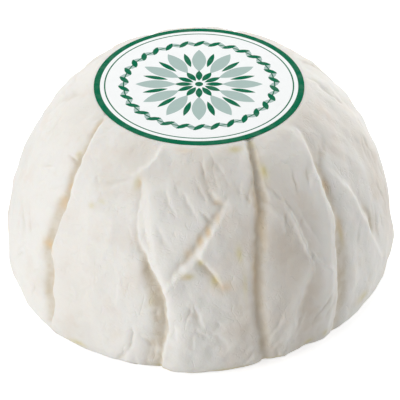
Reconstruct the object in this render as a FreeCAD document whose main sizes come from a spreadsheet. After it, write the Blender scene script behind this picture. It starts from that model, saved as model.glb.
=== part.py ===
import FreeCAD, Part
import Sketcher
import math
import os
from bisect import bisect_left

# A whole soft sheep milk cheese: a low dome that was drained in a gathered cloth, so the folds of
# the cloth stay pressed into its rind, with a round paper label on its flat crown.
#
# Millimetres, +Z up. The foot stands on Z = 0, the axis of the dome is the Z axis, and the front is
# at -Y. A place on the side is an angle, in degrees round from the front towards +X, and a way up,
# the share of the distance along the surface from the foot (0) to the edge of the crown (1).

SIZES = [
    ("widest_diameter", 130.0, "across the belly of the dome, between the folds"),
    ("overall_height", 69.5, "from the table to the crown"),
    ("belly_height", 7.5, "height of the widest place above the table"),
    ("foot_inset", 8.0, "how far the foot draws in under the belly"),
    ("groove_depth", 2.3, "of the deepest groove that a cloth fold left"),
    ("groove_width", 2.1, "from the middle of a groove out to where it is a third as deep"),
    ("ridge_height", 1.3, "of the tallest ridge between two cloth folds"),
    ("ridge_width", 2.4, "from the middle of a ridge out to where it is a third as tall"),
    ("swell_height", 1.1, "of the fullest swelling of the side beyond an even dome"),
    ("label_diameter", 68.0, "of the paper label"),
    ("label_thickness", 0.25, "of the paper label with its glue"),
    ("label_margin", 0.5, "of flat crown left showing round the label"),
]

# Grooves: the route as (angle, way up) corners, the depth and the width as shares of the deepest
# groove, and the lips at the left and right of it as shares of the tallest ridge.
GROOVES = {
    "left shoulder": ([(-58, 0.98), (-54, 0.86), (-51.5, 0.70), (-51, 0.55), (-48.5, 0.42), (-47, 0.12)],
                      0.50, 1.25, 0.0, 0.45),
    "front left": ([(-19, 0.57), (-14, 0.47), (-11, 0.36), (-9.5, 0.24), (-12, 0.0)],
                   0.95, 1.15, 0.1, 0.0),
    "front notch": ([(2, 0.56), (5.5, 0.48)], 0.40, 0.90, 0.0, 0.0),
    "front main": ([(24, 1.0), (24, 0.90), (21, 0.75), (16.5, 0.53), (16, 0.36), (18, 0.0)],
                   1.00, 1.00, 0.35, 0.35),
    "front right": ([(54, 0.93), (53, 0.82), (51.5, 0.70), (49, 0.50), (47, 0.38), (46, 0.05)],
                    0.60, 1.40, 0.0, 0.0),
    "right flank": ([(62, 0.62), (64, 0.50), (66, 0.40), (66, 0.28)], 0.35, 1.60, 0.5, 0.0),
    "right crease": ([(97, 1.0), (95, 0.92), (93, 0.85), (98, 0.72)], 0.30, 1.00, 0.2, 0.0),
    "rear right": ([(116, 0.95), (119, 0.74), (117, 0.48), (120, 0.22), (118, 0.0)],
                   0.60, 1.30, 0.0, 0.4),
    "rear right fork": ([(141, 0.66), (137, 0.50), (131, 0.30), (129, 0.08)], 0.55, 1.10, 0.3, 0.0),
    "back main": ([(163, 1.0), (160, 0.82), (161, 0.55), (157, 0.32), (158, 0.0)],
                  1.00, 1.10, 0.3, 0.3),
    "back short": ([(184, 0.88), (181, 0.70), (183, 0.50)], 0.45, 1.10, 0.4, 0.0),
    "rear left": ([(207, 0.97), (203, 0.78), (205, 0.52), (201, 0.25), (203, 0.0)],
                  0.80, 1.20, 0.0, 0.5),
    "left flank": ([(238, 0.97), (241, 0.80), (246, 0.60), (247, 0.38), (250, 0.12)],
                   0.45, 1.50, 0.3, 0.0),
}

# Ridges: the route, then the height and the width as shares of the tallest ridge.
RIDGES = {
    "upper left": ([(-18, 0.98), (-22, 0.91), (-27, 0.84), (-35, 0.80)], 0.55, 0.80),
    "centre left": ([(-20, 0.81), (-18, 0.70), (-15, 0.59), (-10, 0.48)], 0.75, 1.20),
    "centre slant": ([(10.5, 0.79), (5, 0.68), (-1, 0.58), (-9, 0.47)], 1.00, 0.95),
    "front left lip": ([(-9, 0.47), (-6.5, 0.37), (-5.5, 0.26), (-8.5, 0.04)], 0.95, 1.20),
    "right shoulder": ([(51, 0.96), (50, 0.82), (48.5, 0.66), (45, 0.50), (42, 0.38), (41, 0.14)],
                       0.70, 1.10),
    "right rear": ([(106, 0.62), (103, 0.46), (105, 0.22)], 0.50, 1.40),
    "back slant": ([(180, 0.48), (174, 0.40), (168, 0.28), (167, 0.10)], 0.80, 1.20),
    "rear slant": ([(226, 0.80), (220, 0.66), (213, 0.56)], 0.70, 1.00),
    "rear left panel": ([(224, 0.42), (222, 0.26), (224, 0.10)], 0.60, 1.50),
}

# Swellings (and, below zero, hollows): angle, way up, half the spread in each, share of the fullest.
SWELLS = [
    (-48, 0.10, 24, 0.16, 1.0),
    (-69, 0.12, 6, 0.08, -0.7),
    (-20, 0.10, 9, 0.12, 0.4),
    (1, 0.06, 9, 0.12, 0.6),
    (30, 0.20, 7, 0.20, 0.3),
    (54, 0.12, 15, 0.13, -1.1),
    (85, 0.20, 8, 0.10, 0.7),
    (78, 0.12, 4, 0.06, -0.5),
    (110, 0.66, 24, 0.24, 0.6),
    (140, 0.15, 12, 0.16, 0.6),
    (180, 0.12, 14, 0.14, 0.8),
    (215, 0.14, 13, 0.16, 0.7),
    (254, 0.60, 26, 0.26, -0.4),
]

POLES_ROUND = 192
POLES_UP = 38
PROFILE_STEPS = 60
SHOULDER_SPREAD = 1.57
SHOULDER_RISE = 0.90
CROWN_FADE = 0.04


def make_sheet(doc):
    """The spreadsheet of driving dimensions: name, value under an alias, meaning."""
    sheet = doc.addObject("Spreadsheet::Sheet", "Sizes")
    for row, (name, value, meaning) in enumerate(SIZES, start=1):
        sheet.set("A%d" % row, name)
        sheet.set("B%d" % row, "%g" % value)
        sheet.setAlias("B%d" % row, name)
        sheet.set("C%d" % row, meaning)
    doc.recompute()
    return sheet


def side_line(sheet):
    """The even dome's outline as (distance along it, radius, height) from the foot to the crown.

    The foot is a quarter of an ellipse, the shoulder a fuller curve that comes in level at the
    edge of the flat crown, which is as wide as the label and its margin.
    """
    widest = sheet.widest_diameter / 2
    crown = sheet.label_diameter / 2 + sheet.label_margin
    rise = sheet.overall_height - sheet.belly_height
    corners = []
    for step in range(PROFILE_STEPS):
        turn = math.pi / 2 * step / PROFILE_STEPS
        radius = widest - sheet.foot_inset * (1 - math.sin(turn))
        corners.append((radius, sheet.belly_height * (1 - math.cos(turn))))
    for step in range(PROFILE_STEPS + 1):
        turn = math.pi / 2 * step / PROFILE_STEPS
        radius = crown + (widest - crown) * max(math.cos(turn), 0.0) ** SHOULDER_SPREAD
        corners.append((radius, sheet.belly_height + rise * math.sin(turn) ** SHOULDER_RISE))
    line = [(0.0,) + corners[0]]
    for (radius, height), (next_radius, next_height) in zip(corners, corners[1:]):
        length = math.hypot(next_radius - radius, next_height - height)
        line.append((line[-1][0] + length, next_radius, next_height))
    return line


def on_side(line, way):
    """The radius and height at a way up the outline, and its slope as a unit (out, up) normal."""
    target = way * line[-1][0]
    after = min(max(bisect_left(line, (target,)), 1), len(line) - 1)
    start, r0, z0 = line[after - 1]
    end, r1, z1 = line[after]
    share = (target - start) / (end - start)
    normal = ((z1 - z0) / (end - start), (r0 - r1) / (end - start))
    return r0 + (r1 - r0) * share, z0 + (z1 - z0) * share, normal


def nearest(route, angle, way, radius, length):
    """The distance over the rind from a place to a route, above zero at the right of the route.

    Near the place the rind is taken as flat, with across and up in millimetres.
    """
    best = math.inf
    for (angle0, way0), (angle1, way1) in zip(route, route[1:]):
        x0 = math.radians((angle0 - angle + 180) % 360 - 180) * radius
        y0 = (way0 - way) * length
        dx = math.radians(angle1 - angle0) * radius
        dy = (way1 - way0) * length
        share = min(max(-(x0 * dx + y0 * dy) / (dx * dx + dy * dy), 0.0), 1.0)
        x, y = x0 + dx * share, y0 + dy * share
        if math.hypot(x, y) < abs(best):
            best = math.copysign(math.hypot(x, y), -x)
    return best


def bell(distance, width):
    """A smooth hump: 1 in the middle, a third at the width, 0 far out."""
    return math.exp(-(distance / width) ** 2)


def relief(sheet, angle, way, radius, length):
    """How far the rind stands out from the even dome at a place: folds, ridges and swellings."""
    out = 0.0
    for route, depth, width, left_lip, right_lip in GROOVES.values():
        off = nearest(route, angle, way, radius, length)
        half = sheet.groove_width * width
        out -= sheet.groove_depth * depth * bell(off, half)
        lip = right_lip if off > 0 else left_lip
        out += sheet.ridge_height * lip * bell(abs(off) - 1.9 * half, half)
    for route, height, width in RIDGES.values():
        off = nearest(route, angle, way, radius, length)
        out += sheet.ridge_height * height * bell(off, sheet.ridge_width * width)
    for middle, middle_way, spread, way_spread, share in SWELLS:
        turn = (angle - middle + 180) % 360 - 180
        out += sheet.swell_height * share * bell(turn, spread) * bell(way - middle_way, way_spread)
    return out


def even_knots(spans):
    """Knots of a clamped cubic curve with even spans, and how often each one counts."""
    return [float(knot) for knot in range(spans + 1)], [4] + [1] * (spans - 1) + [4]


def pole_ways():
    """The way up of each row of poles: the mean of the three knots that a cubic pole hangs on."""
    spans = POLES_UP - 3
    ways = []
    for row in range(POLES_UP):
        hung_on = [min(max(row + step, 0), spans) for step in (-2, -1, 0)]
        ways.append(sum(hung_on) / 3 / spans)
    return ways


def make_rind(sheet):
    """The closed side surface: a cubic spline skin over poles set on the dome and its relief."""
    line = side_line(sheet)
    length = line[-1][0]
    step = 2 * math.pi / POLES_ROUND
    roundness = 3 / (2 + math.cos(step))
    poles = []
    for column in range(POLES_ROUND):
        turn = column * step
        poles.append([])
        for way in pole_ways():
            radius, height, (slope_out, slope_up) = on_side(line, way)
            fade = min((1 - way) / CROWN_FADE, 1.0)
            out = fade * relief(sheet, math.degrees(turn), way, radius, length)
            if height > sheet.belly_height:
                height += out * slope_up
                out *= slope_out
            reach = (radius + out) * roundness
            poles[-1].append(FreeCAD.Vector(reach * math.sin(turn), -reach * math.cos(turn), height))
    knots_round = [float(knot) for knot in range(POLES_ROUND + 1)]
    knots_up, counts_up = even_knots(POLES_UP - 3)
    rind = Part.BSplineSurface()
    rind.buildFromPolesMultsKnots(poles, [1] * len(knots_round), counts_up, knots_round, knots_up,
                                  True, False, 3, 3)
    return rind.toShape()


def make_cheese(doc, sheet):
    """The cheese: the rind closed by the flat foot below and the flat crown above."""
    rind = make_rind(sheet)
    ends = [edge for edge in rind.Edges if abs(edge.BoundBox.ZMax - edge.BoundBox.ZMin) < 1e-6]
    caps = [Part.Face(Part.Wire([edge])) for edge in ends]
    shell = Part.makeShell([rind] + caps)
    shell.sewShape()
    solid = Part.makeSolid(shell)
    if solid.Volume < 0:
        solid.reverse()
    cheese = doc.addObject("Part::Feature", "cheese")
    cheese.Label = "cheese"
    cheese.Shape = solid
    cheese.Placement = FreeCAD.Placement()
    return cheese


def make_label(doc):
    """The paper label: a thin disc that lies face to face on the flat crown."""
    body = doc.addObject("PartDesign::Body", "label")
    body.Label = "label"
    plane = next(item for item in body.Origin.OriginFeatures if item.Role == "XY_Plane")
    outline = body.newObject("Sketcher::SketchObject", "label_outline")
    outline.AttachmentSupport = (plane, [""])
    outline.MapMode = "FlatFace"
    circle = outline.addGeometry(Part.Circle(FreeCAD.Vector(), FreeCAD.Vector(0, 0, 1), 1.0), False)
    outline.addConstraint(Sketcher.Constraint("Coincident", circle, 3, -1, 1))
    size = outline.addConstraint(Sketcher.Constraint("Diameter", circle, 2.0))
    outline.setExpression("Constraints[%d]" % size, "Sizes.label_diameter")
    disc = body.newObject("PartDesign::Pad", "label_disc")
    disc.Profile = outline
    disc.setExpression("Length", "Sizes.label_thickness")
    body.setExpression("Placement.Base.z", "Sizes.overall_height")
    return body


def check(doc, pieces):
    """Stop before anything is written if a feature failed or a piece is not a sound solid."""
    for item in doc.Objects:
        if "Invalid" in item.State or "Error" in item.State:
            raise RuntimeError("%s did not build: %s" % (item.Label, item.State))
    for piece in pieces:
        if piece.Shape.isNull() or not piece.Shape.isValid() or len(piece.Shape.Solids) != 1:
            raise RuntimeError("%s is not one sound solid" % piece.Label)


def main():
    doc = FreeCAD.newDocument("SheepMilkCheese")
    sheet = make_sheet(doc)
    pieces = [make_cheese(doc, sheet), make_label(doc)]
    doc.recompute()
    check(doc, pieces)
    os.makedirs("parts", exist_ok=True)
    for piece in pieces:
        piece.Shape.exportStep("parts/%s.step" % piece.Label)
        box = piece.Shape.BoundBox
        print("%s  %.1f cm3  box %.2f %.2f %.2f to %.2f %.2f %.2f" % (
            piece.Label, piece.Shape.Volume / 1000,
            box.XMin, box.YMin, box.ZMin, box.XMax, box.YMax, box.ZMax))


main()
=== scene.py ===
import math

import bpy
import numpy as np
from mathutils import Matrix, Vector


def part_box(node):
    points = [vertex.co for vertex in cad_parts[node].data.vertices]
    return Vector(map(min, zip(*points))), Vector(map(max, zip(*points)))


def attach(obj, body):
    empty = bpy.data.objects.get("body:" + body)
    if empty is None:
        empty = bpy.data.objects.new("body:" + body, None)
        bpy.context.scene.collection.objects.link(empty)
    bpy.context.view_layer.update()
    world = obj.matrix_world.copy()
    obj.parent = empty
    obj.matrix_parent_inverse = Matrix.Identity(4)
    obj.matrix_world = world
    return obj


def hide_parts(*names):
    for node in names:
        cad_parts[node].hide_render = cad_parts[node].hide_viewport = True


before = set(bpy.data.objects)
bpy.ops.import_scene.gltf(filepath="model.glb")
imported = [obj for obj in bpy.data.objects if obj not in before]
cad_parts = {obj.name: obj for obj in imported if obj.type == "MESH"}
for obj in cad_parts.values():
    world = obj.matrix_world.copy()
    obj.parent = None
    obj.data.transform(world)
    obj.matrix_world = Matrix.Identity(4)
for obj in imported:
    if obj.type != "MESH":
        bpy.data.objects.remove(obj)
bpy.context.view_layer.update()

# The looks of a whole domed sheep milk cheese. The rind is one piece: a profile spun into a dome,
# pressed into cloth folds and crumpled. The paper label on the crown is another.
#
# Blender's unit is the metre. The tables of the rind are in millimetres; a place on the side is an
# angle in degrees, round from the front (-Y) towards +X, and a way up, the share of the distance
# over the surface from the foot (0) to the edge of the flat crown (1).

MM = 0.001
CHEESE_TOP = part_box("cheese")[1][2]
LABEL_LOW, LABEL_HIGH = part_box("label")

# ---- sizes, in millimetres

WIDEST_RADIUS = 65.0
OVERALL_HEIGHT = CHEESE_TOP / MM
BELLY_HEIGHT = 7.5
FOOT_INSET = 8.0
LABEL_RADIUS = (LABEL_HIGH[0] - LABEL_LOW[0]) / 2 / MM
LABEL_THICKNESS = (LABEL_HIGH[2] - LABEL_LOW[2]) / MM
LABEL_MARGIN = 0.5
CROWN_RADIUS = LABEL_RADIUS + LABEL_MARGIN

# How the shoulder curves: above 1 its radius falls sooner, below 1 its height rises sooner.
SHOULDER_SPREAD = 1.57
SHOULDER_RISE = 0.90

# The share of the height up to which the side is steep.
STEEP_SHARE = 0.6

# The skin's points: columns round it, rows up its side, rings on its crown and under its foot.
COLUMNS = 704
ROWS = 128
CROWN_RINGS = 8
FOOT_RINGS = 5

# How much closer the columns stand at the front than they would evenly, 0 to 1.
FRONT_CLOSENESS = 0.38

# How many points draw each curve of the outline: the foot's and the shoulder's.
CURVE_POINTS = 240

# What is closer than the first is level, and what is closer than the second is merged.
LEVEL = 0.001
MERGED = 0.01

# ---- the folds of the rind

# A groove or ridge: its corners as (angle, way up, strength), its depth or height, its width to the
# left and to the right, and how square its cross-section is, from 1 for a pinch to 3 for a channel.
# A strength above 1 holds the fold at its full depth for longer.
GROOVES = {
    "left shoulder top": ([
        (-59.5, 0.995, 0.4), (-58.5, 0.975, 0.9), (-57, 0.952, 1.0), (-55.5, 0.909, 1.0),
        (-54.6, 0.869, 1.0), (-53.8, 0.838, 0.9), (-53.5, 0.82, 0.4)], 1.25, 1.5, 0.7, 1.6),
    "left shoulder middle": ([
        (-53.5, 0.825, 0.4), (-53.3, 0.80, 0.9), (-53.3, 0.765, 0.9), (-52.5, 0.735, 1.0),
        (-51.3, 0.705, 1.0), (-50.5, 0.665, 0.5)], 1.5, 1.8, 0.9, 1.6),
    "left shoulder low": ([
        (-49.8, 0.67, 0.6), (-50, 0.63, 1.0), (-50.8, 0.573, 0.9), (-50.2, 0.52, 1.0),
        (-51, 0.465, 1.0), (-50.7, 0.43, 0.9), (-48.7, 0.395, 0.85), (-47.8, 0.35, 0.9),
        (-47.8, 0.28, 0.95), (-46.8, 0.23, 0.9), (-46.8, 0.165, 0.5),
        (-47, 0.12, 0.1)], 1.65, 3.5, 1.1, 2.2),
    "left feather": ([
        (-60, 0.80, 0.3), (-57.5, 0.795, 1.0), (-54, 0.795, 0.7)], 0.85, 0.6, 0.6, 1.5),
    "left feather up": ([
        (-55.5, 0.835, 0.3), (-54.5, 0.82, 1.0), (-52.5, 0.805, 0.8)], 0.85, 0.6, 0.6, 1.5),
    "upper left tail": ([
        (-26, 0.85, 0.3), (-28, 0.84, 0.8), (-31.5, 0.82, 1.0), (-37, 0.795, 0.8),
        (-42, 0.77, 0.2)], 0.40, 0.8, 0.8, 1.5),
    "upper left prick": ([
        (-42, 0.80, 0.3), (-41, 0.785, 1.0), (-39.5, 0.765, 0.3)], 0.40, 0.5, 0.5, 1.5),
    "front left thread": ([
        (-24, 0.855, 0.3), (-22.3, 0.815, 0.7), (-21.6, 0.752, 0.6), (-21.3, 0.705, 0.5),
        (-20.8, 0.655, 0.8), (-19.4, 0.614, 1.0), (-17.2, 0.576, 1.0),
        (-15.8, 0.54, 0.6)], 0.75, 1.8, 0.7, 1.5),
    "front left thread 2": ([
        (-24, 0.67, 0.2), (-22.8, 0.64, 1.0), (-20.8, 0.59, 0.8),
        (-19.5, 0.565, 0.2)], 0.25, 0.9, 0.5, 1.5),
    "front left thread 3": ([
        (-18, 0.67, 0.3), (-17.3, 0.645, 1.0), (-15.3, 0.595, 0.4)], 0.40, 0.9, 0.5, 1.5),
    "front left": ([
        (-16.5, 0.575, 0.1), (-15.8, 0.54, 0.55), (-14.4, 0.51, 0.9), (-12.2, 0.475, 1.0),
        (-10.6, 0.42, 1.0), (-9.8, 0.365, 0.95), (-9.6, 0.30, 0.8), (-10, 0.22, 0.5),
        (-10.8, 0.14, 0.4), (-11.5, 0.03, 0.4)], 2.8, 2.8, 0.8, 1.6),
    "front left low shade": ([
        (-13, 0.40, 0.3), (-12.4, 0.27, 0.9), (-13.2, 0.17, 1.0),
        (-14, 0.03, 0.8)], 0.40, 3.0, 2.0, 1.8),
    "centre slant": ([
        (10, 0.795, 0.3), (6.8, 0.744, 0.8), (3.8, 0.702, 1.0), (1.4, 0.664, 1.0),
        (-0.6, 0.627, 1.0), (-2.7, 0.591, 0.9), (-5.8, 0.552, 0.7),
        (-8.2, 0.506, 0.4)], 1.0, 1.7, 1.1, 1.5),
    "front notch": ([
        (0.5, 0.575, 0.6), (2.3, 0.55, 1.0), (4, 0.52, 1.0), (5.6, 0.49, 0.7),
        (6.6, 0.47, 0.2)], 1.15, 2.6, 0.5, 1.5),
    "centre wrinkle": ([
        (1, 0.925, 0.2), (2.5, 0.90, 0.8), (3.5, 0.878, 1.0),
        (5.5, 0.835, 0.3)], 0.30, 1.0, 0.6, 1.5),
    "centre wrinkle low": ([
        (3.3, 0.83, 0.4), (5, 0.80, 1.0), (7.5, 0.78, 1.0),
        (10.5, 0.768, 0.5)], 0.60, 0.9, 0.9, 1.6),
    "centre crease": ([(1, 0.75, 0.4), (3, 0.728, 1.0), (4.6, 0.71, 0.4)], 0.65, 0.6, 0.6, 1.5),
    "centre left crease": ([
        (-14, 0.69, 0.3), (-12.5, 0.662, 0.9), (-11, 0.637, 1.0),
        (-8, 0.60, 0.3)], 0.35, 0.8, 1.2, 1.5),
    "centre high prick": ([
        (6.5, 0.96, 0.4), (6.6, 0.935, 1.0), (6.5, 0.905, 0.3)], 0.22, 0.5, 0.5, 1.5),
    "centre right crease": ([
        (14.5, 0.87, 0.3), (17, 0.82, 1.0), (18.8, 0.77, 0.6)], 0.35, 0.9, 0.5, 1.5),
    "low prick": ([(-2.3, 0.40, 0.4), (-3, 0.365, 1.0), (-3.6, 0.335, 0.3)], 0.40, 0.8, 0.5, 1.5),
    "front main": ([
        (27.3, 1.03, 0.2), (26.8, 1.0, 0.5), (25.7, 0.95, 0.8), (24.5, 0.89, 0.9),
        (23.6, 0.85, 1.0), (22.7, 0.80, 1.0), (21.6, 0.74, 1.0), (20.6, 0.69, 0.95),
        (19.7, 0.64, 0.9), (18.9, 0.60, 0.95), (17.9, 0.53, 0.9), (17.4, 0.47, 0.95),
        (17.2, 0.42, 0.85), (17.2, 0.35, 0.8), (18, 0.26, 0.75), (18.5, 0.18, 0.7),
        (19, 0.12, 0.65), (19.3, 0.02, 0.55)], 1.5, 1.8, 2.6, 2.2),
    "front right": ([
        (55, 0.95, 0.2), (53.4, 0.90, 0.5), (51.8, 0.84, 0.7), (50.6, 0.78, 0.9),
        (49.5, 0.73, 0.95), (49.3, 0.68, 0.85), (49.3, 0.64, 0.5),
        (49.3, 0.60, 0.1)], 1.05, 1.2, 2.5, 2.0),
    "front right low": ([
        (49.3, 0.68, 0.2), (49.3, 0.64, 0.5), (49.1, 0.60, 0.7), (48.2, 0.55, 0.8),
        (47, 0.50, 0.95), (45, 0.38, 1.0), (44.2, 0.27, 1.0), (43.5, 0.17, 0.7),
        (43, 0.08, 0.4)], 1.15, 1.1, 4.6, 2.5),
    "right panel dimple": ([
        (39.5, 0.84, 0.3), (38.2, 0.79, 1.0), (37.4, 0.735, 0.3)], 0.65, 1.3, 0.8, 1.6),
    "right panel dimple 2": ([
        (45.5, 0.82, 0.3), (44, 0.785, 1.0), (42.8, 0.75, 0.3)], 0.65, 1.2, 0.8, 1.6),
    "right panel crease": ([
        (26.5, 0.83, 0.3), (29.5, 0.766, 1.0), (31.5, 0.735, 1.0),
        (32.6, 0.68, 0.4)], 0.45, 0.6, 1.0, 1.5),
    "right panel shade": ([
        (36, 0.68, 0.5), (38.5, 0.60, 1.0), (40, 0.53, 0.5)], 0.40, 0.6, 1.4, 1.5),
    "foot right crease": ([
        (40.5, 0.33, 0.4), (39.3, 0.305, 1.0), (37, 0.263, 1.0),
        (34, 0.22, 0.5)], 0.60, 0.5, 0.9, 1.5),
    "foot right crease 2": ([
        (41.5, 0.29, 0.4), (40, 0.265, 1.0), (38, 0.225, 0.4)], 0.45, 0.5, 0.7, 1.5),
    "right flank": ([
        (60.5, 0.66, 0.3), (62.5, 0.59, 0.8), (64.3, 0.51, 1.0), (65.6, 0.43, 1.0),
        (67.5, 0.35, 0.6), (69.5, 0.28, 0.2)], 0.60, 1.8, 3.2, 1.6),
    "right flank mark": ([
        (65.8, 0.50, 0.4), (65.4, 0.46, 1.0), (65.8, 0.41, 0.5)], 0.45, 0.6, 0.6, 1.5),
    "right crease": ([
        (97, 1.0, 0.6), (97, 0.95, 0.8), (94, 0.91, 1.0), (93, 0.85, 1.0), (96, 0.79, 0.5),
        (98, 0.74, 0.2)], 0.40, 0.8, 0.8, 1.5),
    "far left terrace": ([
        (-97, 0.79, 0.3), (-94, 0.84, 0.8), (-90, 0.91, 1.0),
        (-85, 0.965, 0.4)], 0.60, 2.2, 2.2, 1.6),
    "foot left drop": ([
        (-19, 0.285, 0.3), (-18.5, 0.245, 1.0), (-19.3, 0.19, 0.6)], 0.50, 0.9, 0.5, 1.5),
    "foot left crease": ([
        (-24.5, 0.08, 0.4), (-22, 0.13, 1.0), (-19, 0.195, 0.4)], 0.45, 0.7, 0.9, 1.5),
    "foot left crease 2": ([
        (-16, 0.245, 0.4), (-14.3, 0.22, 1.0), (-12.8, 0.19, 0.3)], 0.45, 0.6, 0.8, 1.5),
    "rear right": ([
        (116, 0.95, 0.4), (119, 0.74, 1.0), (117, 0.48, 0.9), (120, 0.22, 0.8),
        (118, 0.0, 0.6)], 1.4, 3.2, 0.9, 1.6),
    "rear right fork": ([
        (141, 0.66, 0.2), (137, 0.50, 1.0), (131, 0.30, 1.0),
        (129, 0.08, 0.5)], 1.3, 0.9, 3.0, 1.5),
    "back main": ([
        (163, 1.03, 0.7), (162, 0.95, 1.0), (160, 0.82, 1.0), (161, 0.55, 0.9), (157, 0.32, 0.8),
        (158, 0.0, 0.7)], 1.9, 1.3, 1.4, 2.8),
    "back short": ([(184, 0.88, 0.2), (181, 0.70, 1.0), (183, 0.50, 0.3)], 0.9, 1.1, 2.0, 1.5),
    "rear left": ([
        (207, 0.99, 0.6), (203, 0.78, 1.0), (205, 0.52, 1.0), (201, 0.25, 0.9),
        (203, 0.0, 0.6)], 1.6, 3.0, 0.9, 1.6),
    "left flank": ([
        (238, 0.97, 0.4), (241, 0.80, 1.0), (246, 0.60, 0.9), (247, 0.38, 0.7),
        (250, 0.12, 0.3)], 0.75, 3.4, 1.2, 1.6),
}

RIDGES = {
    "left shoulder lip": ([
        (-57, 0.985, 0.6), (-53.5, 0.90, 0.8), (-50.8, 0.80, 0.9), (-49.5, 0.70, 0.9),
        (-49, 0.56, 0.9), (-49, 0.47, 1.0), (-46.5, 0.38, 0.8),
        (-45.5, 0.20, 0.5)], 0.50, 1.1, 3.4, 1.6),
    "upper left": ([
        (-18.3, 1.0, 0.6), (-18.3, 0.96, 0.9), (-19.8, 0.93, 1.0), (-22.2, 0.89, 1.0),
        (-24.6, 0.866, 0.9), (-27, 0.848, 0.3)], 0.80, 1.0, 2.6, 1.5),
    "upper left tail": ([
        (-26, 0.835, 0.7), (-31, 0.80, 0.7), (-37, 0.77, 0.2)], 0.35, 1.4, 1.4, 1.6),
    "centre left": ([
        (-19.5, 0.85, 0.4), (-18.2, 0.80, 0.9), (-16.8, 0.74, 1.0), (-15.7, 0.69, 1.0),
        (-14.4, 0.63, 1.0), (-12.8, 0.57, 1.0), (-11.2, 0.52, 1.0),
        (-9.6, 0.47, 1.0)], 0.90, 2.2, 6.5, 1.6),
    "centre slant": ([
        (9.5, 0.755, 0.0), (6.8, 0.708, 0.4), (4.3, 0.668, 0.9), (1.9, 0.627, 1.0),
        (0.5, 0.589, 1.0), (-2.7, 0.55, 1.0), (-6.3, 0.51, 0.9),
        (-9.2, 0.465, 0.8)], 1.1, 1.1, 3.2, 1.5),
    "centre wrinkle": ([(5, 0.83, 0.4), (7.5, 0.805, 1.0), (11, 0.785, 0.6)], 0.40, 0.7, 0.9, 1.4),
    "front left lip": ([
        (-9.4, 0.475, 0.8), (-7.2, 0.42, 1.0), (-5.4, 0.355, 1.0), (-4.6, 0.288, 1.05),
        (-5.3, 0.203, 1.1), (-6.9, 0.06, 1.0)], 1.05, 3.8, 7.6, 1.8),
    "front main left lip": ([
        (23, 1.0, 0.5), (23, 0.95, 1.0), (22.8, 0.90, 1.0), (21.8, 0.82, 1.0), (20.7, 0.75, 0.7),
        (19.6, 0.70, 0.2)], 0.55, 1.1, 0.7, 1.5),
    "front main right lip": ([
        (28.4, 0.98, 0.9), (27.5, 0.93, 1.0), (26.8, 0.87, 0.8),
        (25.5, 0.80, 0.2)], 0.45, 0.7, 1.1, 1.5),
    "front main low band": ([
        (17, 0.67, 0.2), (15.5, 0.58, 0.8), (14.4, 0.45, 1.0), (14.7, 0.325, 1.0),
        (15.3, 0.189, 0.9), (16, 0.05, 0.6)], 0.18, 1.6, 0.9, 1.6),
    "front main fine": ([
        (14.5, 0.87, 0.4), (16.4, 0.83, 1.0), (18.2, 0.79, 0.5)], 0.30, 0.5, 0.7, 1.4),
    "right shoulder": ([
        (49.8, 0.97, 0.4), (49.5, 0.92, 0.8), (48.8, 0.87, 1.0), (47.3, 0.81, 1.0),
        (46.2, 0.75, 1.0), (45.3, 0.71, 1.0), (45.3, 0.65, 1.0), (44.6, 0.59, 1.1),
        (42.6, 0.52, 1.2), (40.8, 0.40, 1.2), (39.8, 0.30, 1.1), (39.5, 0.18, 0.7),
        (39.5, 0.08, 0.5)], 1.25, 3.2, 2.8, 1.7),
    "right flank": ([
        (54, 0.76, 0.3), (57.5, 0.68, 0.6), (60, 0.60, 0.8), (61, 0.50, 1.0), (63, 0.41, 1.0),
        (66, 0.32, 0.7), (68, 0.24, 0.3)], 0.65, 3.6, 1.8, 1.6),
    "right panel facet": ([
        (36, 0.48, 0.3), (33.5, 0.44, 0.8), (31, 0.40, 1.0), (28.7, 0.34, 1.0), (27, 0.27, 1.0),
        (26, 0.19, 1.0), (25.5, 0.10, 0.7)], 0.85, 2.4, 1.5, 1.7),
    "foot right lump": ([
        (31.5, 0.29, 0.4), (30, 0.25, 1.0), (27.5, 0.19, 0.6)], 0.40, 0.9, 0.9, 1.5),
    "scratch high": ([
        (26.5, 0.72, 0.4), (28.6, 0.68, 1.0), (28.6, 0.63, 0.5)], 0.65, 0.9, 0.5, 1.3),
    "scratch long": ([
        (31, 0.76, 0.3), (32, 0.70, 0.8), (33, 0.64, 1.0), (34.3, 0.575, 1.0), (34.6, 0.535, 1.0),
        (36.3, 0.475, 0.5)], 0.95, 0.7, 0.45, 1.3),
    "scratch low": ([(36, 0.53, 0.5), (38, 0.475, 1.0), (41.5, 0.415, 0.8)], 0.75, 0.6, 0.5, 1.3),
    "foot right facet": ([
        (29.5, 0.29, 0.5), (28, 0.25, 1.0), (28, 0.16, 0.8)], 0.35, 1.6, 0.6, 1.5),
    "foot right facet 2": ([
        (34, 0.35, 0.3), (38, 0.24, 1.0), (35, 0.18, 0.8), (37, 0.09, 0.6)], 0.30, 1.4, 0.6, 1.5),
    "right rear": ([(106, 0.62, 0.5), (103, 0.46, 1.0), (105, 0.22, 0.5)], 0.65, 3.4, 1.6, 1.6),
    "back slant": ([
        (180, 0.48, 0.6), (174, 0.40, 1.0), (168, 0.28, 1.0),
        (167, 0.10, 0.7)], 1.0, 1.2, 3.2, 1.5),
    "rear slant": ([(226, 0.80, 0.5), (220, 0.66, 1.0), (213, 0.56, 0.7)], 0.8, 1.2, 2.6, 1.5),
    "rear left panel": ([(224, 0.42, 0.5), (222, 0.26, 1.0), (224, 0.10, 0.6)], 0.7, 3.4, 2.0, 1.6),
    "rear right lip": ([
        (121, 0.90, 0.6), (122, 0.72, 1.0), (120, 0.48, 1.0),
        (123, 0.22, 0.7)], 0.5, 1.4, 3.4, 1.6),
    "rear scratch": ([(192, 0.70, 0.4), (194, 0.58, 1.0), (191, 0.46, 0.7)], 0.26, 0.5, 0.5, 1.2),
}

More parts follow.
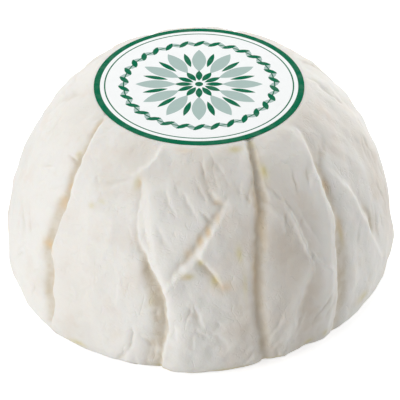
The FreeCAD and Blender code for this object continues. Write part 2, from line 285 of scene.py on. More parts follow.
# The walls of the folds stray sideways: how far, how slowly, and how their start differs.
RAGGED = ((0.13, 1.7, 1.0), (0.11, 0.62, 2.3))

# A fold reaches this many widths out, and narrows to this share of its width where it is weakest.
FOLD_REACH = 3.2
WEAKEST_WIDTH = 0.45

# The lean above which a place lies fully at one side of a fold, the least radius to turn by, and
# a number too small to matter.
FULL_LEAN = 0.9
LEAST_RADIUS = 20.0
TINY = 1e-9

# The ways up at which the folds have run out, under the foot and on the crown. What stands out
# dies away before the crown, from the last of these on, so that the label lies flat.
FOOT_END = -1 / 12
CROWN_END = 1.10
RIDGES_FADE = 0.965

# The dents: name, size and depth in millimetres, detail. They start at the first of these ways
# up, are full from the second to the third and end at the last, in this many levels.
DENTS = [("broad_dents", 10.0, 1.3, 1), ("small_dents", 3.4, 0.36, 2)]
DENTED = (0.0, 1 / 30, 0.96, 1.01)
DENT_LEVELS = 10

# The groove depth that takes the full painted shade, and the ridge height that takes the full
# painted highlight.
FULL_FOLD = 1.6
FULL_CREST = 0.9

# The small creases come in bunches of nearly parallel lines, each bunch where chance puts it.
# A pair is a lowest and a highest value, and a lean is how widely it spreads, in radians.
CREASE_SEED = 11
BUNCHES = 52
BUNCH_WAY = (0.08, 0.94)
BUNCH_LEAN = 0.55
CREASES_IN_BUNCH = (3, 6)
CREASE_ACROSS = (-7, 7)
CREASE_UP = (-6, 6)
CREASE_LENGTH = (4.0, 13.0)
CREASE_LEAN = 0.22
CREASE_BOW = (-0.16, 0.16)
CREASE_DEPTH = (0.16, 0.46)
CREASE_LEFT = (0.8, 1.8)
CREASE_RIGHT = 0.55
CREASE_SQUARE = 1.4

# Along a crease, from its low end at -1 to its high end at 1: the place and the strength there.
CREASE_STRENGTH = [(-1, 0.1), (-0.5, 0.8), (0.1, 1.0), (0.6, 0.7), (1, 0.1)]

# Swellings (and, below zero, hollows): angle, way up, half the spread in each, height.
SWELLS = [
    (-48, 0.10, 24, 0.16, 1.1), (-69, 0.12, 6, 0.08, -0.77), (-20, 0.10, 9, 0.12, 0.44),
    (1, 0.06, 9, 0.12, 0.66), (30, 0.20, 7, 0.20, 0.33), (54, 0.12, 15, 0.13, -1.2),
    (31, 0.03, 12, 0.16, -1.5), (85, 0.20, 8, 0.10, 0.77), (78, 0.12, 4, 0.06, -0.55),
    (110, 0.66, 24, 0.24, 0.66), (140, 0.15, 12, 0.16, 0.66), (180, 0.12, 14, 0.14, 0.88),
    (215, 0.14, 13, 0.16, 0.77), (254, 0.60, 26, 0.26, -0.44),
]

# Where the bloom is thin and the warm rind shows through, and where the same warm tint is painted
# shade on panels and fold walls that turn from the light: angle, way up, half the spread in each,
# strength.
WARM_AND_SHADED_PANELS = [
    (3, 0.92, 15, 0.14, 0.6), (15, 0.38, 8, 0.34, 0.8), (30, 0.38, 12, 0.60, 1.0),
    (21, 0.42, 3, 0.36, 0.6), (-39, 0.36, 14, 0.28, 0.35), (-72, 0.92, 22, 0.14, 0.35),
    (60, 0.96, 26, 0.14, 0.6), (82, 0.50, 9, 0.40, 0.8), (70, 0.80, 12, 0.30, 0.3),
    (-28, 0.95, 14, 0.18, 0.6), (150, 0.50, 24, 0.55, 0.8), (198, 0.35, 14, 0.40, 0.5),
    (232, 0.70, 14, 0.30, 0.4),
]

# Stains: angle, way up, half the size across and up in millimetres, strength.
YELLOW_STAINS = [
    (18, 0.975, 2.2, 1.0, 0.9), (27.5, 0.865, 1.1, 2.4, 1.0), (-24.5, 0.83, 1.2, 2.4, 0.5),
    (0.5, 0.568, 1.0, 1.0, 0.9), (-3.2, 0.517, 2.0, 1.0, 0.9), (12.5, 0.59, 1.0, 2.6, 0.7),
    (4.7, 0.495, 1.4, 1.6, 0.9), (-14, 0.40, 0.9, 2.4, 0.4), (13.5, 0.47, 0.8, 5.0, 0.4),
    (49.5, 0.52, 0.9, 4.0, 0.5), (-39, 0.692, 1.3, 0.8, 0.6), (-35.8, 0.722, 1.3, 0.7, 0.5),
    (-56, 0.825, 0.9, 1.4, 0.5), (-36.5, 0.115, 3.0, 1.3, 0.9), (-10, 0.09, 3.0, 1.2, 1.0),
    (-2, 0.078, 5.0, 1.0, 0.6), (9, 0.09, 6.0, 1.2, 1.0), (21, 0.10, 5.0, 1.1, 0.7),
    (33.5, 0.125, 2.0, 1.4, 0.7), (39, 0.14, 1.2, 1.8, 0.6), (56, 0.175, 3.0, 1.8, 0.7),
    (27, 0.985, 0.8, 1.4, 0.6), (176, 0.62, 1.2, 2.0, 0.7), (158, 0.78, 1.0, 2.2, 0.8),
    (212, 0.58, 1.5, 1.0, 0.6), (130, 0.42, 1.0, 2.4, 0.6), (170, 0.08, 8.0, 1.1, 0.6),
    (225, 0.09, 9.0, 1.1, 0.5),
]
OCHRE_STAINS = [
    (-51.5, 0.637, 1.6, 2.4, 0.9), (-52, 0.455, 2.6, 1.6, 1.0), (-47.5, 0.36, 0.9, 4.0, 0.7),
    (-51.7, 0.71, 0.9, 2.6, 0.8), (-57.5, 0.96, 0.9, 2.6, 0.6), (50.5, 0.72, 1.2, 2.2, 0.8),
    (50, 0.55, 1.0, 3.6, 0.5), (-23.5, 0.83, 0.6, 1.4, 0.6), (-8, 0.98, 3.0, 1.2, 0.4),
    (-3.5, 0.60, 1.3, 1.6, 0.7), (0.3, 0.645, 1.0, 1.8, 0.8), (3, 0.68, 0.9, 1.8, 0.8),
    (6.5, 0.725, 0.8, 1.6, 0.6), (6.5, 0.785, 1.6, 0.8, 0.6), (-4, 0.51, 1.2, 0.7, 0.5),
    (21, 0.72, 1.6, 9.0, 0.5), (17, 0.50, 1.4, 9.0, 0.5), (7.5, 0.47, 3.0, 2.0, 0.7),
    (204, 0.70, 1.4, 3.0, 0.8), (204, 0.45, 1.8, 3.4, 0.7), (119, 0.60, 1.4, 4.0, 0.7),
    (160, 0.55, 1.4, 9.0, 0.6), (246, 0.62, 1.6, 3.4, 0.6),
]

# ---- small helpers


def clear_selection():
    """Leave edit mode and select nothing."""
    if bpy.context.object and bpy.context.object.mode != "OBJECT":
        bpy.ops.object.mode_set(mode="OBJECT")
    bpy.ops.object.select_all(action="DESELECT")


def finish_piece(piece, material, node):
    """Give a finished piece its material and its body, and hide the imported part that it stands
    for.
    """
    piece.data.materials.clear()
    piece.data.materials.append(material)
    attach(piece, "root")
    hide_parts(node)


def face_outwards():
    """Turn the faces of the mesh in edit mode outwards and leave edit mode."""
    bpy.ops.mesh.select_all(action="SELECT")
    bpy.ops.mesh.normals_make_consistent(inside=False)
    bpy.ops.object.mode_set(mode="OBJECT")


def select_only(piece):
    """Select one piece alone and make it active."""
    clear_selection()
    piece.select_set(True)
    bpy.context.view_layer.objects.active = piece


def read_points(mesh):
    """The places of a mesh's points, one row each, in millimetres."""
    flat = np.empty(len(mesh.vertices) * 3)
    mesh.vertices.foreach_get("co", flat)
    return flat.reshape(-1, 3) / MM


def write_points(mesh, points):
    """Put a mesh's points at these places, in millimetres."""
    mesh.vertices.foreach_set("co", (points * MM).ravel())
    mesh.update()


def bell(distance, width):
    """A smooth hump: 1 in the middle, a third at the width, 0 far out."""
    return np.exp(-(distance / width) ** 2)


def turn_from(middle, angle):
    """How far each angle is turned from a middle one, in degrees, -180 to 180."""
    return (angle - middle + 180) % 360 - 180


def ramp(value, start, full):
    """0 at start, 1 at full and even between them; either of the two may be the larger."""
    return np.clip((value - start) / (full - start), 0, 1)


# ---- the outline of the dome


def side_line():
    """The even dome's outline, as distances along it, radii and heights, from foot to crown."""
    turn = np.linspace(0, math.pi / 2, CURVE_POINTS)
    foot_radius = WIDEST_RADIUS - FOOT_INSET * (1 - np.sin(turn))
    foot_height = BELLY_HEIGHT * (1 - np.cos(turn))
    spread = np.clip(np.cos(turn), 0, 1) ** SHOULDER_SPREAD
    shoulder_radius = CROWN_RADIUS + (WIDEST_RADIUS - CROWN_RADIUS) * spread
    rise = OVERALL_HEIGHT - BELLY_HEIGHT
    shoulder_height = BELLY_HEIGHT + rise * np.sin(turn) ** SHOULDER_RISE
    radius = np.concatenate([foot_radius, shoulder_radius[1:]])
    height = np.concatenate([foot_height, shoulder_height[1:]])
    steps = np.hypot(np.diff(radius), np.diff(height))
    return np.concatenate([[0.0], np.cumsum(steps)]), radius, height


LINE_DISTANCE, LINE_RADIUS, LINE_HEIGHT = side_line()
SIDE_LENGTH = LINE_DISTANCE[-1]


def outline_corners():
    """The profile to be spun, as (radius, height) from the middle of the foot to the crown's."""
    distance = np.linspace(0, SIDE_LENGTH, ROWS + 1)
    side_radius = np.interp(distance, LINE_DISTANCE, LINE_RADIUS)
    side_height = np.interp(distance, LINE_DISTANCE, LINE_HEIGHT)
    corners = [(side_radius[0] * ring / FOOT_RINGS, 0.0) for ring in range(FOOT_RINGS)]
    corners += list(zip(side_radius, side_height))
    corners += [(CROWN_RADIUS * (1 - ring / CROWN_RINGS), OVERALL_HEIGHT)
                for ring in range(1, CROWN_RINGS + 1)]
    return corners


def spin_dome():
    """Draw the profile corner by corner and turn it into a closed dome."""
    clear_selection()
    bpy.ops.mesh.primitive_plane_add(size=MM, location=(0, 0, 0))
    dome = bpy.context.object
    dome.name = dome.data.name = "cheese_rind"
    bpy.ops.object.mode_set(mode="EDIT")
    bpy.ops.mesh.select_all(action="SELECT")
    bpy.ops.mesh.merge(type="CENTER")
    corners = outline_corners()
    for (radius, height), (next_radius, next_height) in zip(corners, corners[1:]):
        step = (0, -(next_radius - radius) * MM, (next_height - height) * MM)
        bpy.ops.mesh.extrude_region_move(TRANSFORM_OT_translate={"value": step})
    bpy.ops.object.mode_set(mode="OBJECT")
    turned = dome.modifiers.new("turned", "SCREW")
    turned.axis = "Z"
    turned.angle = math.tau
    turned.steps = turned.render_steps = COLUMNS
    turned.use_merge_vertices = True
    turned.merge_threshold = MERGED * MM
    bpy.ops.object.modifier_apply(modifier="turned")
    bpy.ops.object.mode_set(mode="EDIT")
    face_outwards()
    return dome


# ---- pressing the folds in


def smooth_route(corners, steps=5):
    """A smooth line through the corners of a route (Catmull-Rom), as rows of corner values."""
    points = np.array(corners, float)
    padded = np.vstack([2 * points[0] - points[1], points, 2 * points[-1] - points[-2]])
    share = np.linspace(0, 1, steps, endpoint=False)[:, None]
    spans = []
    for before, start, end, after in zip(padded, padded[1:], padded[2:], padded[3:]):
        bend = 2 * before - 5 * start + 4 * end - after
        turn = 3 * (start - end) + after - before
        spans.append(start + 0.5 * share * ((end - before) + share * (bend + share * turn)))
    return np.vstack(spans + [points[-1:]])


def near_route(corners, angle, way, radius, reach):
    """The places near a route, and for each its distance, its lean and the route's strength.

    The distance is above zero at the right of the route. The lean is 1 straight to the right and
    -1 straight to the left, and passes smoothly from one to the other round the route's ends.
    """
    route = smooth_route(corners)
    middle = (route[:, 0].min() + route[:, 0].max()) / 2
    turn = turn_from(middle, angle)
    half = (route[:, 0].max() - route[:, 0].min()) / 2
    margin = np.degrees(reach / np.maximum(radius, LEAST_RADIUS))
    rise = reach / SIDE_LENGTH
    near = np.flatnonzero((np.abs(turn) < half + margin)
                          & (way > route[:, 1].min() - rise) & (way < route[:, 1].max() + rise))
    across = (route[None, :, 0] - middle - turn[near, None]) * np.radians(radius[near, None])
    up = (route[None, :, 1] - way[near, None]) * SIDE_LENGTH
    x0, y0 = across[:, :-1], up[:, :-1]
    dx, dy = np.diff(across, axis=1), np.diff(up, axis=1)
    lengths = np.hypot(dx, dy)
    share = np.clip(-(x0 * dx + y0 * dy) / lengths ** 2, 0, 1)
    x, y = x0 + dx * share, y0 + dy * share
    gap = np.hypot(x, y)
    closest = (np.arange(len(near)), gap.argmin(axis=1))
    downward = 1.0 if route[-1, 1] < route[0, 1] else -1.0
    cross = (x * dy - y * dx)[closest] * downward
    lean = cross / np.maximum((lengths * gap)[closest], TINY)
    strength = route[closest[1], 2] + np.diff(route[:, 2])[closest[1]] * share[closest]
    before = np.cumsum(lengths, axis=1) - lengths
    travelled = (before + lengths * share)[closest]
    distance = np.copysign(gap[closest], lean) + ragged(travelled, route[0, 0]) * np.abs(lean)
    return near, distance, lean, np.clip(strength, 0, 1)


def ragged(travelled, phase):
    """How far the wall of a fold strays sideways, in millimetres, along its length."""
    return sum(stray * np.sin(travelled / step + phase * turn) for stray, step, turn in RAGGED)


def press(table, angle, way, radius):
    """The depth of a table's grooves, or the height of its ridges, at each place."""
    out = np.zeros_like(angle)
    for corners, height, left, right, square in table.values():
        reach = FOLD_REACH * max(left, right)
        near, distance, lean, strength = near_route(corners, angle, way, radius, reach)
        beside = np.abs(lean) > FULL_LEAN
        rightness = np.where(beside, distance > 0, 0.5 + lean / (2 * FULL_LEAN))
        narrowed = WEAKEST_WIDTH + (1 - WEAKEST_WIDTH) * strength
        width = (left + (right - left) * rightness) * narrowed
        out[near] += height * strength * np.exp(-np.abs(distance / width) ** square)
    return out


def small_creases():
    """A table of short shallow grooves, each with a soft left side and a steep right one."""
    chance = np.random.default_rng(CREASE_SEED)
    table = {}
    for bunch in range(BUNCHES):
        angle, way = chance.uniform(-180, 180), chance.uniform(*BUNCH_WAY)
        radius = np.interp(way * SIDE_LENGTH, LINE_DISTANCE, LINE_RADIUS)
        bunch_lean = chance.normal(0, BUNCH_LEAN)
        for line in range(chance.integers(*CREASES_IN_BUNCH)):
            across, up = chance.uniform(*CREASE_ACROSS), chance.uniform(*CREASE_UP)
            half = chance.uniform(*CREASE_LENGTH) / 2
            lean = bunch_lean + chance.normal(0, CREASE_LEAN)
            bow = chance.uniform(*CREASE_BOW) * half
            corners = []
            for share, strength in CREASE_STRENGTH:
                side = across + half * share * math.sin(lean) + bow * (1 - share ** 2)
                rise = up + half * share * math.cos(lean)
                corners.append((angle + math.degrees(side / radius), way + rise / SIDE_LENGTH,
                                strength))
            depth, left = chance.uniform(*CREASE_DEPTH), chance.uniform(*CREASE_LEFT)
            table[f"crease {bunch} {line}"] = (corners, depth, left, CREASE_RIGHT, CREASE_SQUARE)
    return table


def patch(angle, way, middle, middle_way, spread, way_spread, height):
    """A smooth round patch on the side, with its full height in the middle and 0 far out."""
    return height * bell(turn_from(middle, angle), spread) * bell(way - middle_way, way_spread)


def swell(angle, way):
    """How far the swellings stand out at each place."""
    return sum(patch(angle, way, *row) for row in SWELLS)


def warmth_and_shade(angle, way):
    """How warm the rind is at each place, 0 to 1, with painted shade where panels turn from the
    light.
    """
    return np.max([patch(angle, way, *row) for row in WARM_AND_SHADED_PANELS], axis=0)


def stain(table, angle, way, radius):
    """How strongly a table of stains tints each place, 0 to 1."""
    tint = np.zeros_like(angle)
    for middle, middle_way, across, up, strength in table:
        aside = np.radians(turn_from(middle, angle)) * radius
        rise = (way - middle_way) * SIDE_LENGTH
        tint = np.maximum(tint, strength * bell(aside, across) * bell(rise, up))
    return tint


def place_on_side(points):
    """The radius, angle and way up of each point of the even dome.

    Above 1 the way runs in over the crown, and below 0 in under the foot. It is told by the
    height where the side is steep, and by the radius above that.
    """
    radius = np.hypot(points[:, 0], points[:, 1])
    angle = np.degrees(np.arctan2(points[:, 0], -points[:, 1]))
    height = points[:, 2]
    by_height = np.interp(height, LINE_HEIGHT, LINE_DISTANCE)
    by_radius = np.interp(-radius, -LINE_RADIUS[CURVE_POINTS:], LINE_DISTANCE[CURVE_POINTS:])
    distance = np.where(height < OVERALL_HEIGHT * STEEP_SHARE, by_height, by_radius)
    crown = height > OVERALL_HEIGHT - LEVEL
    distance = np.where(crown, SIDE_LENGTH + CROWN_RADIUS - radius, distance)
    under = (height < LEVEL) & (radius < LINE_RADIUS[0] - LEVEL)
    distance = np.where(under, radius - LINE_RADIUS[0], distance)
    return radius, angle, distance / SIDE_LENGTH


def gather_to_front(points):
    """Turn the dome's columns towards the front, and give the angle each point then has."""
    turn = np.arctan2(points[:, 0], -points[:, 1])
    radius = np.hypot(points[:, 0], points[:, 1])
    turn = turn - FRONT_CLOSENESS * np.sin(turn)
    points[:, 0], points[:, 1] = radius * np.sin(turn), -radius * np.cos(turn)
    return turn


def push_out(points, turn, way, out):
    """Move points square to the even side above the belly, and level below it."""
    distance = np.clip(way, 0, 1) * SIDE_LENGTH
    slope_up = -np.gradient(LINE_RADIUS, LINE_DISTANCE)
    slope_out = np.gradient(LINE_HEIGHT, LINE_DISTANCE)
    above = points[:, 2] > BELLY_HEIGHT
    up = np.interp(distance, LINE_DISTANCE, slope_up) * above
    outward = np.where(above, np.interp(distance, LINE_DISTANCE, slope_out), 1.0)
    points[:, 0] += out * outward * np.sin(turn)
    points[:, 1] -= out * outward * np.cos(turn)
    points[:, 2] = np.maximum(points[:, 2] + out * up, 0.0)


def press_rind(dome):
    """Press the folds, ridges and swellings into the dome, and keep on its points the tints they
    drive: painted shade in the grooves, a painted highlight on the ridges, warm rind with painted
    shade on some panels, and stains.
    """
    mesh = dome.data
    points = read_points(mesh)
    turn = gather_to_front(points)
    radius, angle, way = place_on_side(points)
    grooves = press(GROOVES, angle, way, radius)
    ridges = press(RIDGES, angle, way, radius)
    creases = press(small_creases(), angle, way, radius)
    out = swell(angle, way) + ridges - grooves - creases
    out = np.where(out > 0, out * ramp(way, 1.0, RIDGES_FADE), out)
    out *= ramp(way, FOOT_END, 0.0) * ramp(way, CROWN_END, 1.0)
    push_out(points, turn, way, out)
    write_points(mesh, points)
    # The tints: painted shade in the grooves, a painted highlight on the ridge crests, warm rind
    # with painted shade on some panels, and stains.
    tints = {
        "fold_shade": np.clip((grooves + creases) / FULL_FOLD, 0, 1),
        "crest_highlight": np.clip(ridges / FULL_CREST, 0, 1),
        "warmth_and_shade": warmth_and_shade(angle, way),
        "yellow_stain": stain(YELLOW_STAINS, angle, way, radius),
        "ochre_stain": stain(OCHRE_STAINS, angle, way, radius),
    }
    for name, values in tints.items():
        layer = mesh.attributes.new(name, "FLOAT", "POINT")
        layer.data.foreach_set("value", values.astype(np.float32))
    mark_dented(dome, way)


def mark_dented(dome, way):
    """A vertex group that says how fully each point is dented."""
    start, full, last, end = DENTED
    level_there = np.round(ramp(way, start, full) * ramp(way, end, last) * DENT_LEVELS)
    group = dome.vertex_groups.new(name="open_rind")
    for level in range(1, DENT_LEVELS + 1):
        inside = np.flatnonzero(level_there == level).tolist()
        group.add(inside, level / DENT_LEVELS, "REPLACE")


def crumple(dome, name, size, depth, detail):
    """Dent the open rind with a soft noise and apply it."""
    texture = bpy.data.textures.new(name, "CLOUDS")
    texture.noise_scale = size * MM
    texture.noise_depth = detail
    dent = dome.modifiers.new(name, "DISPLACE")
    dent.texture = texture
    dent.texture_coords = "LOCAL"
    dent.direction = "NORMAL"
    dent.vertex_group = "open_rind"
    dent.mid_level = 0.5
    dent.strength = depth * MM
    bpy.ops.object.modifier_apply(modifier=name)


def stand_flat(dome):
    """Bring whatever the dents pushed below the table back up to it."""
    points = read_points(dome.data)
    points[:, 2] = np.maximum(points[:, 2], 0.0)
    write_points(dome.data, points)


def build_rind():
    """The whole rind, from the even dome to its dents."""
    dome = spin_dome()
    press_rind(dome)
    select_only(dome)
    for dents in DENTS:
        crumple(dome, *dents)
    stand_flat(dome)
    bpy.ops.object.shade_smooth()
    return dome


# ---- the label

# The disc's corners, the insets from its rim inwards and the width of its softened edge.
LABEL_CORNERS = 256
LABEL_INSETS = (0.12, 8.0, 8.0)
LABEL_SOFTNESS = 0.08


def build_label():
    """A thin round of paper: a disc extruded to its thickness, with softened edges."""
    clear_selection()
    bpy.ops.mesh.primitive_circle_add(vertices=LABEL_CORNERS, radius=LABEL_RADIUS * MM,
                                      fill_type="NGON", location=(0, 0, LABEL_LOW[2]))
    label = bpy.context.object
    label.name = label.data.name = "paper_label"
    bpy.ops.object.mode_set(mode="EDIT")
    bpy.ops.mesh.select_all(action="SELECT")
    rise = (0, 0, LABEL_THICKNESS * MM)
    bpy.ops.mesh.extrude_region_move(TRANSFORM_OT_translate={"value": rise})
    for inset in LABEL_INSETS:
        bpy.ops.mesh.inset(thickness=inset * MM)
    face_outwards()
    select_only(label)
    bpy.ops.object.transform_apply(location=True, rotation=True, scale=True)
    soften = label.modifiers.new("soft_edge", "BEVEL")
    soften.width = LABEL_SOFTNESS * MM
    soften.segments = 2
    soften.limit_method = "ANGLE"
    bpy.ops.object.modifier_apply(modifier="soft_edge")
    bpy.ops.object.shade_smooth_by_angle(angle=math.radians(35))
    return label


# ---- node helpers

# The inputs of shader groups that are vectors. All others are numbers.
VECTORS = ("Place", "Stretch")


class Nodes:
    """A node tree that is written top to bottom, each call adding one linked node."""

    def __init__(self, tree):
        self.tree = tree

    def add(self, kind, inputs=(), **settings):
        """A new node, with its settings made and its inputs fed."""
        node = self.tree.nodes.new(kind)
        for name, value in settings.items():
            setattr(node, name, value)
        for name, value in dict(inputs).items():
            self.feed(node.inputs[name], value)
        return node

    def feed(self, socket, value):
        """Link a socket to another node's output, or give it a plain value."""
        if isinstance(value, bpy.types.NodeSocket):
            self.tree.links.new(value, socket)
        else:
            socket.default_value = value

    def math(self, operation, first, second=0.0, third=0.0):
        """One step of arithmetic."""
        node = self.add("ShaderNodeMath", {0: first, 1: second, 2: third}, operation=operation)
        return node.outputs[0]

    def plus(self, first, second):
        return self.math("ADD", first, second)

    def minus(self, first, second):
        return self.math("SUBTRACT", first, second)

    def times(self, first, second):
        return self.math("MULTIPLY", first, second)

    def reach(self, x, y):
        """How far a place is from the middle."""
        return self.math("SQRT", self.plus(self.times(x, x), self.times(y, y)))

    def fade(self, value, low, high):
        """0 below low, 1 above high, smooth between."""
        node = self.add("ShaderNodeMapRange", {"Value": value, "From Min": low, "From Max": high},
                        interpolation_type="SMOOTHSTEP")
        return node.outputs[0]

    def blend(self, share, below, above):
        """One colour laid over another, by a share of 0 to 1."""
        node = self.add("ShaderNodeMix", {0: share, 6: below, 7: above}, data_type="RGBA")
        return node.outputs[2]

    def attribute(self, name):
        """A tint that is kept on the points."""
        return self.add("ShaderNodeAttribute", attribute_name=name).outputs["Fac"]

    def noise(self, place, scale, detail=2.0, roughness=0.5):
        """A soft cloudy pattern, about 0.5 on average."""
        node = self.add("ShaderNodeTexNoise", {"Vector": place, "Scale": scale, "Detail": detail,
                                               "Roughness": roughness})
        return node.outputs["Fac"]

    def group(self, tree, **inputs):
        """A shader group, placed with its own values: half_width feeds its input Half width."""
        named = {name.replace("_", " ").capitalize(): value for name, value in inputs.items()}
        return self.add("ShaderNodeGroup", named, node_tree=tree).outputs[0]

    def seen_straight(self):
        """1 where the camera looks at the surface, also in a mirror or through glass."""
        path = self.add("ShaderNodeLightPath").outputs
        seen = self.math("MAXIMUM", path["Is Camera Ray"], path["Is Glossy Ray"])
        return self.math("MAXIMUM", seen, path["Is Transmission Ray"])


def new_group(name, output, *inputs):
    """An empty shader group with named inputs and one named output, a number."""
    tree = bpy.data.node_groups.new(name, "ShaderNodeTree")
    for each in inputs:
        kind = "NodeSocketVector" if each in VECTORS else "NodeSocketFloat"
        tree.interface.new_socket(each, in_out="INPUT", socket_type=kind)
    tree.interface.new_socket(output, in_out="OUTPUT", socket_type="NodeSocketFloat")
    nodes = Nodes(tree)
    start = nodes.add("NodeGroupInput")
    end = nodes.add("NodeGroupOutput")
    return tree, nodes, start.outputs, end.inputs[0]


def new_material(name):
    """An empty material, its nodes and the socket that its surface goes to."""
    material = bpy.data.materials.new(name)
    material.use_nodes = True
    material.node_tree.nodes.clear()
    nodes = Nodes(material.node_tree)
    return material, nodes, nodes.add("ShaderNodeOutputMaterial").inputs["Surface"]


def srgb(red, green, blue):
    """A colour given as it shows on a screen, 0 to 255, as the shader's linear numbers."""
    linear = []
    for value in (red, green, blue):
        share = value / 255
        linear.append(share / 12.92 if share <= 0.04045 else ((share + 0.055) / 1.055) ** 2.4)
    return (*linear, 1.0)


# ---- finishes that repeat


def blotch_group():
    """Uneven patches: a noise cut to a soft-edged mask."""
    tree, nodes, start, end = new_group("uneven_patches", "Mask", "Place", "Scale", "Start", "Full")
    grain = nodes.noise(start["Place"], start["Scale"], 3.0, 0.55)
    nodes.feed(end, nodes.fade(grain, start["Start"], start["Full"]))
    return tree


def felt_group():
    """The height of a fine felted or fibrous surface, from two sizes of noise."""
    tree, nodes, start, end = new_group("felted_height", "Height", "Place", "Coarse", "Fine")
    coarse = nodes.noise(start["Place"], start["Coarse"], 3.0, 0.55)
    fine = nodes.noise(start["Place"], start["Fine"], 2.0, 0.6)
    nodes.feed(end, nodes.math("MULTIPLY_ADD", fine, 0.35, coarse))
    return tree


def hairline_group():
    """The height of hairline wrinkles: the middle lines of a noise, drawn out and broken up."""
    tree, nodes, start, end = new_group("hairline_wrinkles", "Height",
                                        "Place", "Scale", "Stretch", "Width")
    drawn = nodes.add("ShaderNodeMapping", {"Vector": start["Place"], "Scale": start["Stretch"]})
    grain = nodes.noise(drawn.outputs[0], start["Scale"])
    off_line = nodes.math("ABSOLUTE", nodes.minus(grain, 0.5))
    line = nodes.minus(1.0, nodes.fade(off_line, 0.0, start["Width"]))
    broken = nodes.noise(start["Place"], nodes.times(start["Scale"], 0.7))
    shown = nodes.times(line, nodes.fade(broken, 0.50, 0.62))
    nodes.feed(end, nodes.minus(1.0, shown))
    return tree


PATCHES = blotch_group()
FELT = felt_group()
HAIRLINES = hairline_group()

# ---- the rind's finish

BLOOM_WHITE = srgb(236, 234, 229)
BLOOM_COOL = srgb(229, 228, 223)
BLOOM_WARM = srgb(231, 222, 212)
# The warm rind under thin bloom, also laid on as painted shade where panels and fold walls turn
# from the light.
RIND_WARM_AND_SHADE = srgb(212, 203, 191)
# The tan in the grooves: partly the rind's own colour, partly painted shade that deepens with the
# groove.
FOLD_TAN_AND_SHADE = srgb(203, 191, 171)
STAIN_YELLOW = srgb(214, 202, 146)
STAIN_OCHRE = srgb(218, 190, 150)
WRINKLE_SHARE = 0.8


def rind_material():
    """White mould bloom over an ivory rind with small whey stains; the folds take its own tan mixed
    with painted shade, some panels a warm painted shade, and the ridge crests a painted highlight.
    """
    material, nodes, end = new_material("bloomy_rind")
    place = nodes.add("ShaderNodeTexCoord").outputs["Object"]
    cool = nodes.group(PATCHES, place=place, scale=55.0, start=0.42, full=0.68)
    warm = nodes.group(PATCHES, place=place, scale=85.0, start=0.48, full=0.72)
    speck = nodes.group(PATCHES, place=place, scale=620.0, start=0.56, full=0.74)
    colour = nodes.blend(nodes.times(cool, 0.7), BLOOM_WHITE, BLOOM_COOL)
    colour = nodes.blend(nodes.times(warm, 0.55), colour, BLOOM_WARM)
    colour = nodes.blend(nodes.times(speck, 0.25), colour, BLOOM_WARM)
    # Warm rind where the bloom is thin, with painted shade on panels and fold walls that turn from
    # the light.
    uneven_warmth = nodes.math("MULTIPLY_ADD", warm, 0.3, 0.75)
    thin_bloom_and_shade = nodes.times(nodes.attribute("warmth_and_shade"), uneven_warmth)
    colour = nodes.blend(thin_bloom_and_shade, colour, RIND_WARM_AND_SHADE)
    # Painted highlight: the crests of the ridges are painted back to the whitest bloom.
    colour = nodes.blend(nodes.times(nodes.attribute("crest_highlight"), 0.75), colour, BLOOM_WHITE)
    # Painted shade in the grooves, mixed with the rind's own tan and broken up in patches.
    depth = nodes.fade(nodes.attribute("fold_shade"), 0.04, 0.80)
    patchy = nodes.group(PATCHES, place=place, scale=240.0, start=0.38, full=0.62)
    depth = nodes.times(depth, nodes.math("MULTIPLY_ADD", patchy, 0.30, 0.55))
    colour = nodes.blend(depth, colour, FOLD_TAN_AND_SHADE)
    uneven = nodes.plus(nodes.noise(place, 420.0, 3.0), 0.45)
    for layer, stain_colour in (("yellow_stain", STAIN_YELLOW), ("ochre_stain", STAIN_OCHRE)):
        stained = nodes.times(nodes.times(nodes.attribute(layer), uneven), 0.8)
        colour = nodes.blend(stained, colour, stain_colour)
    upright = nodes.group(HAIRLINES, place=place, scale=230.0, stretch=(1.0, 1.0, 0.4), width=0.03)
    slanting = nodes.group(HAIRLINES, place=place, scale=330.0, stretch=(0.6, 1.0, 0.8), width=0.04)
    wrinkles = nodes.math("MULTIPLY_ADD", slanting, 0.6, upright)
    felt = nodes.group(FELT, place=place, coarse=380.0, fine=1600.0)
    height = nodes.math("MULTIPLY_ADD", wrinkles, WRINKLE_SHARE, felt)
    bump = nodes.add("ShaderNodeBump", {"Height": height, "Strength": 0.30, "Distance": 0.0004})
    roughness = nodes.math("MULTIPLY_ADD", speck, 0.12, 0.72)
    surface = nodes.add("ShaderNodeBsdfPrincipled", {
        "Base Color": colour, "Roughness": roughness, "Normal": bump.outputs[0],
        "Specular IOR Level": 0.25, "Subsurface Weight": 0.25,
        "Subsurface Radius": (1.0, 0.7, 0.45), "Subsurface Scale": 0.0025})
    nodes.feed(end, surface.outputs[0])
    return material


# ---- the label's finish

PAPER_WHITE = srgb(252, 254, 254)
PRINT_GREEN = srgb(0, 106, 73)
PRINT_GREY = srgb(176, 197, 192)
PAPER_SHADE = srgb(205, 212, 208)

# Half the width of the soft edge of the print, in millimetres.
EDGE_SOFTNESS = 0.05


def print_edge(nodes, inside):
    """A printed shape from the distance inside its edge, in millimetres."""
    return nodes.fade(inside, -EDGE_SOFTNESS, EDGE_SOFTNESS)


def ring_group():
    """A printed ring: full between its two radii."""
    tree, nodes, start, end = new_group("printed_ring", "Mask", "Radius", "Inner", "Outer")
    inside = nodes.math("MINIMUM", nodes.minus(start["Radius"], start["Inner"]),
                        nodes.minus(start["Outer"], start["Radius"]))
    nodes.feed(end, print_edge(nodes, inside))
    return tree


